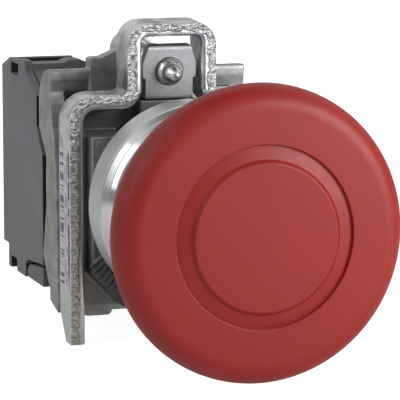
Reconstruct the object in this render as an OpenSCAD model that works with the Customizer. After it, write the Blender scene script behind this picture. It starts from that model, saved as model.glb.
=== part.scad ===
// Emergency stop button for a 22 mm panel hole: a push-pull mushroom head, a metal bezel, a fixing
// collar with a clamp yoke and screw, and two contact blocks.
// X runs to the right, Y runs back through the panel and Z runs up. The origin lies on the head's
// axis, on the front face of the panel.

/* [Head] */
// Radius of the mushroom cap
cap_r = 20; // [19:0.5:22]
// Distance from the panel to the cap's centre disc
cap_reach = 34.7; // [34:0.1:36]
// Radius of the raised centre disc
disc_r = 9.8; // [9:0.1:10.5]
// Radius of the step that rings the centre disc
step_r = 12.2; // [11.8:0.1:13]
// Length that the head is pushed in
travel = 4.5; // [4:0.1:4.5]
// Radius of the cap's hub
hub_r = 9; // [8.8:0.1:9]
// Radius of the plunger
plunger_r = 4; // [3.8:0.05:4]

/* [Bezel] */
// Outer radius of the bezel
bezel_r = 14.65; // [14.5:0.05:15.5]
// Distance from the panel to the bezel's front edge
bezel_reach = 8.8; // [8.5:0.1:9]
// Radius of the barrel that goes through the panel hole
barrel_r = 11; // [10.9:0.05:11]
// Length of the barrel behind the panel
barrel_l = 13; // [12.8:0.1:13]
// Thickness of the panel gasket
gasket_t = 1; // [0.8:0.1:1]

/* [Collar and yoke] */
// Free space for the panel
panel_gap = 5; // [4.8:0.1:5]
// Half width of the collar's rear frame
frame_x = 15; // [14.8:0.1:15.2]
// Half width of the yoke over its legs
yoke_x = 15.4; // [15.4:0.1:16]
// Thickness of the yoke's strip
yoke_t = 2.25; // [2:0.05:2.3]
// Height of the yoke's loop above the axis, at its front
yoke_top = 24.65; // [24.5:0.05:26]
// Length of the yoke's legs below the axis
yoke_leg = 21.4; // [21:0.1:22]
// Height of the clamp screw above the axis, where it leaves the nut
screw_z = 17.65; // [17.6:0.05:17.8]
// Rise of the clamp screw towards the rear, in degrees
screw_tilt = 4; // [3.5:0.5:4.5]
// Radius of the clamp screw's thread
screw_r = 2; // [1.9:0.05:2]

/* [Contact blocks] */
// Distance from the axis to the middle of a block
block_pitch = 10; // [10:0.1:10.5]
// Width of a block
block_w = 10; // [9.8:0.1:10]
// Distance from the panel to the block's rear face
block_back = 47.3; // [47.3:0.1:49]
// Wall thickness of the housing
block_wall = 1.2; // [1.1:0.05:1.2]
// Radius of a wire entry
wire_r = 1.1; // [1:0.05:1.1]

/* [Hidden] */

fine = 96;
small = 0.01;
gap = 0.05;
slack = 0.3;

// Cap
cap_edge_r = 2;
cap_edge_l = 3.5;
cap_front = -cap_reach + 0.5;
cap_rim = -cap_reach + 6.2;
cap_inside = -cap_reach + 2.9;
rim_t = 1.7;
rim_taper = 0.45;
groove_depth = 0.95;
hub_end = 1 - travel - gap;
pin_r = 0.8;
pin_y = -14;

// Plunger and detent
guide_front = 1;
guide_back = 4;
plunger_bore = plunger_r + 0.06;
plunger_front = cap_inside + 0.8;
clip_groove_y = 12.75;
clip_t = 0.8;
clip_r = 5.6;
clip_groove_r = 3.2;
spigot_r = 2.5;
plate_front = 15.6;
plate_back = 17.2;
plate_x = 11.6;
plate_z = 3.2;
detent_y = 8.3;
detent_ball_r = 1.2;
detent_x = plunger_r + detent_ball_r + 0.03;
detent_groove = 0.5;
detent_r = 8.45;
detent_back = 12.6;
pocket_r = 1.25;

// Bezel and seals
cavity_r = 8.5;
mouth_r = 10.9;
mouth_back = -6;
hub_bore = hub_r + 0.4;
collar_groove = [8.1, 9.9];
collar_groove_r = 10.3;
key_w = 3;
key_r = 12.1;
gasket_in = 12.3;
gasket_out = bezel_r - 0.35;

// Collar, as outlines in X and Z or in Y and Z
collar_bore = barrel_r + 0.15;
plate_half = 12.5;
plate_top = 8.9;
neck_half = 12.9;
neck_top = 12.3;
neck_low = -16;
neck_y = 8;
flange_y = [12.3, 15.2];
flange_half = 14.2;
frame_wall = 3;
cavity_top = 13.2;
floor_z = -16.2;
frame_outline = [
    [14.65, -18.2], [14.6, -16.2], [14.9, -8.8], [15.2, 0], [16.1, 5.8], [17.7, 10], [18.6, 14],
    [18.1, 15.8], [18, 17.3], [20.2, 17.2], [22, 16.6], [23.2, 15.6], [24.1, 14.1], [24.6, 12.5],
    [24.7, 8.3], [20.8, 4.4], [21, -3.4], [22.9, -10.8], [19.1, -15.5], [19.2, -17]
];
frame_cavity = [
    [15.3, floor_z], [26, floor_z], [26, cavity_top], [19.7, cavity_top], [18.9, 10],
    [17.3, 5.8], [15.3, 3.6]
];
front_outline = [
    [-8, -15.8], [8, -15.8], [plate_half, -11], [plate_half, plate_top], [-plate_half, plate_top],
    [-plate_half, -11]
];
cheek_outline = [[2, 13.5], [2, 20.2], [4.2, 20.2], [7.2, 18.9], [8.9, 18.9], [8.9, 13.5]];
cheek_y = [18, 20.7];
fork_half = 3.3;
fork_z = [13.5, 20.2];
notch_x = [9.5, 12.7];
notch_z = [9.4, 14];
catch_y = [19.6, 20.9];
catch_z = [-13.1, -11.2];
saddle_half = 4.3;
saddle_top = 13.5;
foot_x = [7.5, 11.5];
foot_low = -18.4;
foot_y = 12;

// Yoke
yoke_y = [6.2, 12];
shoulder_z = 14.75;
loop_half = 6.7;
bend_r = 4;
loop_bend_r = 3.1;
loop_t = 1.85;
loop_split = 19;
corner_r = 0.8;
label_t = 0.1;
label_y = [6.6, 11.4];
label_z = [-13.5, 7];

// Clamp screw, nut and washer
nut_y = [7.6, 9.2];
nut_half = 3.15;
nut_low_half = 3.6;
nut_z = [13.6, 21.55];
nut_outline = [
    [nut_low_half, nut_z[0]], [nut_low_half, 16.6], [4.05, 16.7], [4.1, 18.6], [nut_half, nut_z[1]],
    [-nut_half, nut_z[1]], [-4.1, 18.6], [-4.05, 16.7], [-nut_low_half, 16.6],
    [-nut_low_half, nut_z[0]]
];
nut_flange_t = 0.8;
nut_flange_back = 17.6;
point_r = 1.45;
point_y = 3.9;
point_l = 1.6;
washer_y = [24.6, 25.4];
washer_r = 3.3;
head_r = 3.25;
head_back = 28.1;

// Contact block, as outlines in Y and Z
block_front = 23.1;
slot_y = [37, 41.7];
housing_outline = [
    [block_front, -12.6], [block_front, 4.1], [26.4, 8.1], [26.3, 12.7], [32.8, 15.7], [33.3, 17.2],
    [slot_y[0], 17.2], [slot_y[0], 14.5], [slot_y[1], 14.5], [slot_y[1], 16.9], [42.6, 16.9],
    [block_back, 15.4],
    [block_back, -12.5], [44.2, -12.5], [44.2, -16.1], [42.6, -16.1], [42.6, -14.2], [39, -14.2], [39, -16.1],
    [33.6, -16.1], [33.6, -13.9], [32.4, -13.2], [28, -12.9], [24.8, -12.6]
];
housing_cavity = [
    [24.5, -11.4], [24.5, 3.6], [27.8, 7.6], [27.8, 12], [33.2, 14.5], [34.2, 15.3], [35.7, 15.3],
    [35.7, 13.2], [42.5, 13.2], [42.5, 14.8], [45.9, 14.8], [45.9, -11.4], [43, -11.4],
    [43, -12.9], [37.7, -12.9], [37.7, -14.8], [34.9, -14.8], [34.9, -12.6], [33, -11.6]
];
latch_outline = [
    [17.4, -14.6], [17.4, -12.8], [18.4, -12.3], [19.3, -12.3], [19.3, -13.3], [21.2, -13.3],
    [21.2, -11.3], [22.9, -11.3], [22.9, -13.1], [25, -13.1], [28, -13.4], [31.2, -13.7],
    [32.4, -14.3], [33, -15.1], [32.4, -15.9], [19.9, -15.9], [19.9, -14.6]
];
latch_hook = [-1.75, 2.8];
latch_y = [19.7, 23.4];
hinge_y = 31.2;
hinge_z = -14.9;
hinge_r = 0.7;
lug_half = 1.5;
slot_roof_z = 16.35;
top_low_z = 16.7;
ridge_base = [1.2, 4.8];
ridge_crest = [2.5, 3.6];
ridge_z = 17.3;
stem_r = 1.95;
carrier_front = 24.6;
carrier_back = 36;
carrier_x = 2.6;
carrier_z = 3;
window_x = 1.7;
bridge_t = 0.6;
bridge_x = 1.4;
bridge_z = 8.6;
tip_z = 7.5;
tip_r = 0.9;
tip_t = 0.35;
strip_t = 0.6;
strip_x = 2;
plate_y = [42.4, 43.2];
terminal_z = [11.4, -8.4];
terminal_reach = [13, -11.3];
terminal_run = [9.5, -11.3];
terminal_screw_r = 1.5;
terminal_head_r = 2.8;
terminal_head = [43.3, 45.4];
terminal_tip = 36.6;
access_r = 3;
clamp_y = [37.2, 38.4];
clamp_half = 3;
wire_x = 2.4;
wire_y = [39.9, 40.4];
return_spring_r = 2.2;
bridge_spring_r = 1.3;
no_close = 2.7;

// A change-over of position between the break block (closed at rest) and the make block
function bridge_y(closed) = closed ? 29.6 : 31.4;
function window_y(closed) = closed ? [29.1, 34.2] : [27.6, 32.05];

// Points of an arc from angle a0 to a1
function arc(x, z, r, a0, a1, steps = 8) =
    [for (i = [0:steps]) let (a = a0 + (a1 - a0) * i / steps) [x + r * cos(a), z + r * sin(a)]];
function mirrored(points) = [for (i = [len(points) - 1:-1:0]) [-points[i][0], points[i][1]]];

// Turned piece on the head's axis, from points of radius and Y
module turned(points) {
    rotate([-90, 0, 0]) rotate_extrude($fn = fine) polygon(points);
}

// Cylinder along Y
module rod_y(r, y0, y1, x = 0, z = 0) {
    translate([x, y0, z]) rotate([-90, 0, 0]) cylinder(r = r, h = y1 - y0, $fn = fine);
}

// Cylinder along X
module rod_x(r, x0, x1, y, z) {
    translate([x0, y, z]) rotate([0, 90, 0]) cylinder(r = r, h = x1 - x0, $fn = fine);
}

// Box between two corners
module block(low, high) {
    translate(low) cube(high - low);
}

// Outline in X and Z, from y0 to y1
module plate_xz(y0, y1) {
    translate([0, y1, 0]) rotate([90, 0, 0]) linear_extrude(y1 - y0) children();
}

// Outline in Y and Z, from x0 to x1
module plate_yz(x0, x1) {
    translate([x0, 0, 0]) rotate([90, 0, 90]) linear_extrude(x1 - x0) children();
}

// Tilts the clamp screw and what goes with it about the point where the screw leaves the nut
module tilted() {
    translate([0, nut_y[0], screw_z]) rotate([screw_tilt, 0, 0])
        translate([0, -nut_y[0], -screw_z]) children();
}

// Both sides of the axis
module both_sides() {
    children();
    mirror([1, 0, 0]) children();
}

// Spring as a ribbed sleeve along Z
module spring_sleeve(r, wire, length, turns) {
    pitch = length / turns;
    outside = [for (i = [0:2 * turns]) [i % 2 == 0 ? r - wire / 2 : r, i * pitch / 2]];
    inside = [for (i = [2 * turns:-1:0]) [i % 2 == 0 ? r - wire : r - wire / 2 - small, i * pitch / 2]];
    rotate_extrude($fn = fine) polygon(concat(outside, inside));
}

// ---- Head ----

module mushroom_cap() {
    edge = [
        for (i = [0:8]) let (a = 90 - i * 11.25)
            [cap_r - cap_edge_r + cap_edge_r * cos(a), cap_front + cap_edge_l * (1 - sin(a))]
    ];
    face = [
        [0, -cap_reach], [disc_r - 0.2, -cap_reach], [disc_r + 0.1, -cap_reach + 0.12],
        [step_r - 0.25, -cap_reach + groove_depth], [step_r, -cap_reach + groove_depth],
        [step_r, cap_front + 0.1], [step_r + 0.1, cap_front]
    ];
    underside = [
        [cap_r - rim_taper, cap_rim], [cap_r - rim_t, cap_rim], [cap_r - rim_t - 0.2, cap_inside + 1],
        [cap_r - rim_t - 1.2, cap_inside], [hub_r + 1.2, cap_inside], [hub_r, cap_inside + 1.2],
        [hub_r, hub_end], [plunger_r + 0.02, hub_end], [plunger_r + 0.02, plunger_front - small],
        [0, plunger_front - small]
    ];
    color("firebrick") difference() {
        turned(concat(face, edge, underside));
        rod_x(pin_r, -cap_r, cap_r, pin_y, 0);
    }
}

module cap_pin() {
    color("silver") rod_x(pin_r, 0.2 - hub_r, hub_r - 0.2, pin_y, 0);
}

module plunger() {
    second_groove = detent_y - travel;
    color("dimgray") difference() {
        turned([
            [0, plunger_front], [plunger_r, plunger_front],
            [plunger_r, second_groove - 0.9], [plunger_r - detent_groove, second_groove],
            [plunger_r, second_groove + 0.9],
            [plunger_r, detent_y - 0.9], [plunger_r - detent_groove, detent_y],
            [plunger_r, detent_y + 0.9],
            [plunger_r, clip_groove_y], [clip_groove_r, clip_groove_y],
            [clip_groove_r, clip_groove_y + clip_t], [plunger_r, clip_groove_y + clip_t],
            [plunger_r, plate_front], [spigot_r, plate_front], [spigot_r, plate_back],
            [0, plate_back]
        ]);
        rod_x(pin_r, -plunger_r - 1, plunger_r + 1, pin_y, 0);
    }
}

module plunger_circlip() {
    color("darkslategray") difference() {
        rod_y(clip_r, clip_groove_y, clip_groove_y + clip_t);
        rod_y(clip_groove_r, clip_groove_y - 1, clip_groove_y + clip_t + 1);
        block([-1.5, clip_groove_y - 1, -clip_r - 1], [1.5, clip_groove_y + 2, 0]);
    }
}

module actuator_plate() {
    end_r = plate_z;
    color("dimgray") difference() {
        plate_xz(plate_front, plate_back) union() {
            square([2 * (plate_x - end_r), 2 * plate_z], center = true);
            for (side = [-1, 1]) translate([side * (plate_x - end_r), 0]) circle(end_r, $fn = fine);
        }
        rod_y(spigot_r + 0.02, plate_front - 1, plate_back + 1);
    }
}

// ---- Bezel ----

module bezel() {
    profile = [
        [mouth_r, -bezel_reach], [mouth_r, mouth_back], [hub_bore, mouth_back],
        [hub_bore, guide_front], [plunger_bore, guide_front], [plunger_bore, guide_back],
        [cavity_r, guide_back], [cavity_r, barrel_l], [barrel_r - 0.4, barrel_l],
        [barrel_r, barrel_l - 0.4], [barrel_r, collar_groove[1]],
        [collar_groove_r, collar_groove[1]], [collar_groove_r, collar_groove[0]],
        [barrel_r, collar_groove[0]], [barrel_r, -gasket_t], [bezel_r, -gasket_t],
        [bezel_r, 2.3 - bezel_reach], [bezel_r - 0.25, 2.15 - bezel_reach],
        [bezel_r - 0.1, 2 - bezel_reach], [bezel_r - 0.35, 1.1 - bezel_reach],
        [bezel_r - 0.85, 0.35 - bezel_reach], [bezel_r - 1.45, -bezel_reach]
    ];
    color("silver") difference() {
        union() {
            turned(profile);
            difference() {
                block([-key_w / 2, -gasket_t, barrel_r - 1], [key_w / 2, panel_gap - 0.2, key_r]);
                rod_y(barrel_r - 0.5, -gasket_t - 1, panel_gap + 1);
            }
        }
        // entry slots for the collar's lugs
        for (a = [45, 225]) rotate([0, a, 0])
            block([collar_groove_r, collar_groove[0] + small, -2.3], [barrel_r + 1, barrel_l + 1, 2.3]);
    }
}

module bezel_gasket() {
    color("black") difference() {
        rod_y(gasket_out, -gasket_t, 0);
        rod_y(gasket_in, -gasket_t - 1, 1);
    }
}

module lip_seal() {
    back = mouth_back - gap;
    color("black") turned([
        [hub_r + gap, back - 1.5], [hub_r + 0.6, back - 1.85], [mouth_r - gap, back - 1.85],
        [mouth_r - gap, back], [hub_r + 0.7, back], [hub_r + 0.5, back - 1]
    ]);
}

module seal_retainer() {
    front = -bezel_reach - 1.1;
    color("gainsboro") turned([
        [hub_r + slack, front + 0.2], [hub_r + slack + 0.2, front], [mouth_r + 1.3, front],
        [mouth_r + 1.6, front + 0.3], [mouth_r + 1.6, -bezel_reach - small],
        [mouth_r - gap, -bezel_reach - small], [mouth_r - gap, -bezel_reach + 0.8],
        [hub_r + slack, -bezel_reach + 0.8]
    ]);
}

// ---- Detent ----

module detent_housing() {
    color("ivory") difference() {
        rod_y(detent_r, guide_back + gap, detent_back);
        rod_y(plunger_r + slack, guide_back - 1, detent_back + 1);
        rod_x(pocket_r, -detent_r - 1, detent_r + 1, detent_y, 0);
    }
}

module detent_balls() {
    color("silver") both_sides()
        translate([detent_x, detent_y, 0]) sphere(detent_ball_r, $fn = fine);
}

module detent_springs() {
    start = detent_x + detent_ball_r;
    color("gray") both_sides() translate([start, detent_y, 0]) rotate([0, 90, 0])
        spring_sleeve(1, 0.4, detent_r - start - gap, 3);
}

// ---- Collar ----

module grip_ribs() {
    both_sides() for (i = [0:6]) rotate([0, 37 + 3.3 * i, 0])
        block([barrel_r + 0.7, panel_gap - 0.4, -0.2], [16.2, panel_gap + 0.2, 0.2]);
}

module collar_body() {
    color("dimgray") union() {
        difference() {
            union() {
                plate_xz(panel_gap, neck_y) polygon(front_outline);
                block([-neck_half, neck_y - small, neck_low], [neck_half, flange_y[0] + small, plate_top]);
                block([-flange_half, flange_y[0], neck_low], [flange_half, flange_y[1], neck_top]);
                difference() {
                    plate_yz(-frame_x, frame_x) polygon(frame_outline);
                    plate_yz(frame_wall - frame_x, frame_x - frame_wall) polygon(frame_cavity);
                    both_sides() block([notch_x[0], 16, notch_z[0]], [notch_x[1], 20, notch_z[1]]);
                }
                block([-saddle_half, neck_y + 0.2, neck_top - 1], [saddle_half, 18.5, saddle_top]);
                both_sides() {
                    plate_xz(cheek_y[0], cheek_y[1]) polygon(cheek_outline);
                    block([foot_x[0], foot_y, foot_low], [foot_x[1], flange_y[1], neck_low + 1]);
                }
                // fork whose rear face takes the clamp screw's washer
                block([-fork_half, cheek_y[0], fork_z[0]], [fork_half, washer_y[0] - 0.25, fork_z[1]]);
            }
            rod_y(collar_bore, panel_gap - 1, flange_y[1] + 0.1);
            rod_y(clip_r + slack, flange_y[1] - 1, clip_groove_y + clip_t + travel + 0.5);
            tilted() {
                rod_y(screw_r + slack, 14, washer_y[0] + 1, 0, screw_z);
                block([-screw_r - slack, 14, screw_z], [screw_r + slack, washer_y[0] + 1, screw_z + 5]);
                rod_y(washer_r + 1, washer_y[0] - gap, washer_y[1] + 1, 0, screw_z);
            }
        }
        grip_ribs();
        block([frame_wall - frame_x - 0.5, catch_y[0], catch_z[0]],
            [frame_x - frame_wall + 0.5, catch_y[1], catch_z[1]]);
        // lugs that turn into the barrel's groove
        difference() {
            for (side = [0, 180]) rotate([0, side, 0])
                block([collar_groove_r + 0.1, collar_groove[0] + 0.1, -2],
                    [collar_bore + 0.3, collar_groove[1] - 0.1, 2]);
            rod_y(collar_groove_r + 0.1, collar_groove[0] - 1, collar_groove[1] + 1);
        }
    }
}

module clamp_yoke() {
    inner_x = yoke_x - yoke_t;
    corner_x = loop_half + corner_r;
    corner_z = shoulder_z + corner_r;
    loop_in = yoke_top - loop_t;
    loop_in_r = loop_bend_r - yoke_t;
    outside = concat(
        [[yoke_x, -yoke_leg]],
        arc(yoke_x - bend_r, shoulder_z - bend_r, bend_r, 0, 90),
        arc(corner_x, corner_z, corner_r, 270, 180, 4),
        [[loop_half, loop_split]]
    );
    inside = concat(
        [[loop_half - yoke_t, loop_split]],
        arc(corner_x, corner_z, corner_r + yoke_t, 180, 270),
        arc(yoke_x - bend_r, shoulder_z - bend_r, bend_r - yoke_t, 90, 0, 6),
        [[inner_x, -yoke_leg]]
    );
    loop = concat(
        [[loop_half, loop_split - 1]],
        arc(loop_half - loop_bend_r, yoke_top - loop_bend_r, loop_bend_r, 0, 90),
        [[0, yoke_top], [0, loop_in]],
        arc(loop_half - loop_bend_r, loop_in - loop_in_r, loop_in_r, 90, 0, 4),
        [[loop_half - yoke_t, loop_split - 1]]
    );
    color("silver") union() {
        difference() {
            plate_xz(yoke_y[0], yoke_y[1]) both_halves() polygon(concat(outside, inside));
            plate_yz(-yoke_x - 1, yoke_x + 1)
                polygon([[8.8, -yoke_leg - small], [13, -yoke_leg - 1], [13, -17.2], [12, -17.2]]);
        }
        // the loop rises towards the rear with the screw
        rise = tan(screw_tilt);
        multmatrix([[1, 0, 0, 0], [0, 1, 0, 0], [0, rise, 1, -rise * yoke_y[0]], [0, 0, 0, 1]])
            plate_xz(yoke_y[0], yoke_y[1]) both_halves() polygon(loop);
    }
}

module both_halves() {
    children();
    mirror([1, 0]) children();
}

module rating_label() {
    color("lavender")
        block([-yoke_x - label_t, label_y[0], label_z[0]], [-yoke_x, label_y[1], label_z[1]]);
}

module clamp_nut() {
    low = nut_z[0];
    color("gainsboro") tilted() difference() {
        union() {
            plate_xz(nut_y[0], nut_y[1]) polygon(nut_outline);
            block([-nut_low_half, nut_y[0], low], [nut_low_half, nut_flange_back, low + nut_flange_t]);
        }
        rod_y(screw_r + gap, nut_y[0] - 1, nut_y[1] + 1, 0, screw_z);
    }
}

module cross_recess(r, y0, y1) {
    for (a = [0, 90]) rotate([0, a, 0]) block([-r, y0, -0.45], [r, y1, 0.45]);
}

module clamp_screw() {
    color("silver") tilted() translate([0, 0, screw_z]) difference() {
        union() {
            turned([
                [0, point_y], [0.45, point_y + 0.2], [1.1, point_y + 0.9], [point_r, point_y + point_l],
                [point_r, point_y + 2.8], [screw_r, point_y + 3.4], [screw_r, washer_y[1] + small],
                [0, washer_y[1] + small]
            ]);
            turned([
                [0, washer_y[1] + small], [head_r, washer_y[1] + small],
                [head_r, head_back - 0.7], [head_r - 0.8, head_back], [0, head_back]
            ]);
        }
        cross_recess(2.2, head_back - 1.5, head_back + 1);
    }
}

module clamp_washer() {
    color("silver") tilted() difference() {
        rod_y(washer_r, washer_y[0], washer_y[1], 0, screw_z);
        rod_y(screw_r + gap, washer_y[0] - 1, washer_y[1] + 1, 0, screw_z);
    }
}

// ---- Contact blocks: the outer wall is on the low side of X ----

module in_bay(side) {
    if (side < 0) translate([-block_pitch, 0, 0]) children();
    else translate([block_pitch, 0, 0]) mirror([1, 0, 0]) children();
}

module block_housing(side) {
    half = block_w / 2;
    inner = half - block_wall;
    color([0.2, 0.2, 0.22]) in_bay(side) difference() {
        union() {
            difference() {
                plate_yz(-half, inner) polygon(housing_outline);
                plate_yz(-inner, half) polygon(housing_cavity);
            }
            block([-lug_half, hinge_y - 1.4, hinge_z - 0.9], [lug_half, hinge_y + 1.4, -12.4]);
            block([-half, slot_y[0] - 0.1, slot_roof_z], [-inner, slot_y[1] + 0.1, 16.9]);
        }
        rod_x(hinge_r + gap, -half, half, hinge_y, hinge_z);
        rod_y(stem_r + gap, block_front - 1, carrier_front + 0.4);
        for (z = terminal_z) rod_y(access_r, 45, block_back + 1, 0, z);
        lowered_top();
        for (x = [-wire_x, wire_x]) {
            translate([x, wire_y[0], 13]) cylinder(r = wire_r, h = 2, $fn = fine);
            translate([x, wire_y[1], -14.5]) cylinder(r = wire_r, h = 2, $fn = fine);
        }
    }
}

// Lowers the top between the outer wall and the inner face, but for a ridge
module lowered_top() {
    plate_xz(30, slot_y[1]) {
        polygon([
            [block_wall - block_w / 2, top_low_z], [ridge_base[0], top_low_z], [ridge_crest[0], ridge_z],
            [ridge_crest[0], ridge_z + 1], [block_wall - block_w / 2, ridge_z + 1]
        ]);
        polygon([
            [ridge_crest[1], ridge_z + 1], [ridge_crest[1], ridge_z], [ridge_base[1], top_low_z],
            [block_w, top_low_z], [block_w, ridge_z + 1]
        ]);
    }
}

module block_cover(side) {
    half = block_w / 2;
    color([0.26, 0.26, 0.28]) in_bay(side) difference() {
        plate_yz(half - block_wall + small, half) polygon(housing_outline);
        lowered_top();
    }
}

module block_plunger(side, closed) {
    tip = plate_back + gap;
    window = window_y(closed);
    color(closed ? "red" : "green") in_bay(side) difference() {
        union() {
            rod_y(stem_r, tip, carrier_front + small);
            block([-carrier_x, carrier_front, -carrier_z], [carrier_x, carrier_back, carrier_z]);
            rod_y(0.9, carrier_back - small, carrier_back + 2);
        }
        block([-window_x, window[0], -carrier_z - 1], [window_x, window[1], carrier_z + 1]);
    }
}

module return_spring(side) {
    color("silver") in_bay(side) translate([0, carrier_back + small, 0]) rotate([-90, 0, 0])
        spring_sleeve(return_spring_r, 0.45, 45.9 - carrier_back - 2 * small, 8);
}

module bridge_spring(side, closed) {
    window = window_y(closed);
    start = closed ? bridge_y(closed) + bridge_t : window[0];
    end = closed ? window[1] : bridge_y(closed);
    color("silver") in_bay(side) translate([0, start + small, 0]) rotate([-90, 0, 0])
        spring_sleeve(bridge_spring_r, 0.35, end - start - 2 * small, 4);
}

module contact_bridge(side, closed) {
    y = bridge_y(closed);
    tip_y = closed ? y - tip_t : y + bridge_t;
    color("goldenrod") in_bay(side) union() {
        block([-bridge_x, y, -bridge_z], [bridge_x, y + bridge_t, bridge_z]);
        for (z = [-tip_z, tip_z]) rod_y(tip_r, tip_y - small, tip_y + tip_t + small, 0, z);
    }
}

module fixed_contact(side, closed, which) {
    sign = which == 0 ? 1 : -1;
    y = bridge_y(closed);
    tip_y = closed ? y - 2 * tip_t - gap : y + bridge_t + tip_t + no_close + gap;
    strip_y = closed ? tip_y - strip_t : tip_y + tip_t;
    run = terminal_run[which];
    run_in = run - sign * strip_t;
    reach = terminal_reach[which];
    bend_low = min(sign * 6.2, run);
    bend_high = max(sign * 6.2, run);
    near = which == 0 ? run_in : terminal_z[which] + 2.6;
    color("peru") in_bay(side) difference() {
        union() {
            block([-strip_x, strip_y, bend_low], [strip_x, strip_y + strip_t, bend_high]);
            rod_y(tip_r, tip_y - small, tip_y + tip_t + small, 0, sign * tip_z);
            block([-strip_x, strip_y, min(run, run_in)], [strip_x, plate_y[1], max(run, run_in)]);
            block([-clamp_half, plate_y[0], min(near, reach)], [clamp_half, plate_y[1], max(near, reach)]);
        }
        rod_y(terminal_screw_r + slack, plate_y[0] - 1, plate_y[1] + 1, 0, terminal_z[which]);
    }
}

module terminal_screw(side, which) {
    color("silver") in_bay(side) translate([0, 0, terminal_z[which]]) difference() {
        turned([
            [0, terminal_tip], [1.1, terminal_tip], [terminal_screw_r, terminal_tip + 0.4],
            [terminal_screw_r, terminal_head[0]], [terminal_head_r, terminal_head[0]],
            [terminal_head_r, terminal_head[1] - 0.4], [terminal_head_r - 0.4, terminal_head[1]],
            [0, terminal_head[1]]
        ]);
        cross_recess(1.9, terminal_head[1] - 1.2, terminal_head[1] + 1);
    }
}

module clamp_plates(side) {
    low = [9.7, -10.5];
    high = [13, -6.3];
    color("silver") in_bay(side) for (which = [0, 1]) difference() {
        block([-clamp_half, clamp_y[0], low[which]], [clamp_half, clamp_y[1], high[which]]);
        rod_y(terminal_screw_r + gap, clamp_y[0] - 1, clamp_y[1] + 1, 0, terminal_z[which]);
    }
}

module block_latch(side) {
    half = block_w / 2 - 0.1;
    color([0.3, 0.3, 0.32]) in_bay(side) union() {
        difference() {
            plate_yz(-half, half) polygon(latch_outline);
            // the hook is narrower than the arm, and the arm straddles the housing's hinge lug
            block([-half - 1, 10, -20], [latch_hook[0], latch_y[1], -10]);
            block([latch_hook[1], 10, -20], [half + 1, latch_y[0], -10]);
            block([-lug_half - 0.2, hinge_y - 2, -17], [lug_half + 0.2, 34, -12]);
        }
        rod_x(hinge_r, -lug_half - 0.4, lug_half + 0.4, hinge_y, hinge_z);
    }
}

mushroom_cap();
cap_pin();
plunger();
plunger_circlip();
actuator_plate();
bezel();
bezel_gasket();
lip_seal();
seal_retainer();
detent_housing();
detent_balls();
detent_springs();
collar_body();
clamp_yoke();
rating_label();
clamp_nut();
clamp_screw();
clamp_washer();
block_housing(-1);  // nc_housing
block_cover(-1);  // nc_cover
block_plunger(-1, true);  // nc_plunger
return_spring(-1);  // nc_return_spring
contact_bridge(-1, true);  // nc_bridge
bridge_spring(-1, true);  // nc_bridge_spring
fixed_contact(-1, true, 0);  // nc_terminal_upper
fixed_contact(-1, true, 1);  // nc_terminal_lower
terminal_screw(-1, 0);  // nc_screw_upper
terminal_screw(-1, 1);  // nc_screw_lower
clamp_plates(-1);  // nc_clamp_plates
block_latch(-1);  // nc_latch
block_housing(1);  // no_housing
block_cover(1);  // no_cover
block_plunger(1, false);  // no_plunger
return_spring(1);  // no_return_spring
contact_bridge(1, false);  // no_bridge
bridge_spring(1, false);  // no_bridge_spring
fixed_contact(1, false, 0);  // no_terminal_upper
fixed_contact(1, false, 1);  // no_terminal_lower
terminal_screw(1, 0);  // no_screw_upper
terminal_screw(1, 1);  // no_screw_lower
clamp_plates(1);  // no_clamp_plates
block_latch(1);  // no_latch
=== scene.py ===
"""The emergency stop button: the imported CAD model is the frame, and detailed pieces stand for its nodes.

All lengths in the piece functions are millimetres in the row frame (X right, Y back, Z up) until a mesh is
made, which scales them to metres. An outline is a list of (a, b) or (a, b, corner radius).
"""

import math

import bmesh
import bpy
from mathutils import Matrix, Vector

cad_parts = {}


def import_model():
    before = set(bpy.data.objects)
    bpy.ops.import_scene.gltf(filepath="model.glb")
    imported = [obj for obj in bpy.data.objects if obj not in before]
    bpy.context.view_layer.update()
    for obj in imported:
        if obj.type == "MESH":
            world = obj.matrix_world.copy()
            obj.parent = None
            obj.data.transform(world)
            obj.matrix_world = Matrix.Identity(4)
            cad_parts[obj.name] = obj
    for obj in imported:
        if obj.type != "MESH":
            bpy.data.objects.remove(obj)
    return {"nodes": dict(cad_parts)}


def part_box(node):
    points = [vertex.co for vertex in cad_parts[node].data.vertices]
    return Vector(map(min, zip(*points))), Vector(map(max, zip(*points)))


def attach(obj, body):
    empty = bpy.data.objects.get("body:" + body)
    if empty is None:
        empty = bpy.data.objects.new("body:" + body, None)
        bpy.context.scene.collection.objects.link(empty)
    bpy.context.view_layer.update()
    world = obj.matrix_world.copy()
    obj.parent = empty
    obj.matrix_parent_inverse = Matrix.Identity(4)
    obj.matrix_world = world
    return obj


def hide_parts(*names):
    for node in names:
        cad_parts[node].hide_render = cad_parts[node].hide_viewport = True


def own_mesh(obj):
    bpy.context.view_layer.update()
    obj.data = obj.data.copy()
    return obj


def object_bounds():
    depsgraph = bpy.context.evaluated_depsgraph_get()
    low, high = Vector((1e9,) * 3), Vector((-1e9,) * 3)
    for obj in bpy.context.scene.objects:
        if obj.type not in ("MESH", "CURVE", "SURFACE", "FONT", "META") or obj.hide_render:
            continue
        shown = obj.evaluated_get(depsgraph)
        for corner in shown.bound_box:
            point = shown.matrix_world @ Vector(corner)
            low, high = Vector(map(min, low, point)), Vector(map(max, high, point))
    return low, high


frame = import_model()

CAD_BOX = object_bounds()
MM = 0.001
ROUND_STEPS = 144
HOLE_STEPS = 48


# ---- Places from the frame ----


def box_mm(node):
    low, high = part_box(node)
    return low * 1000, high * 1000


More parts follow.
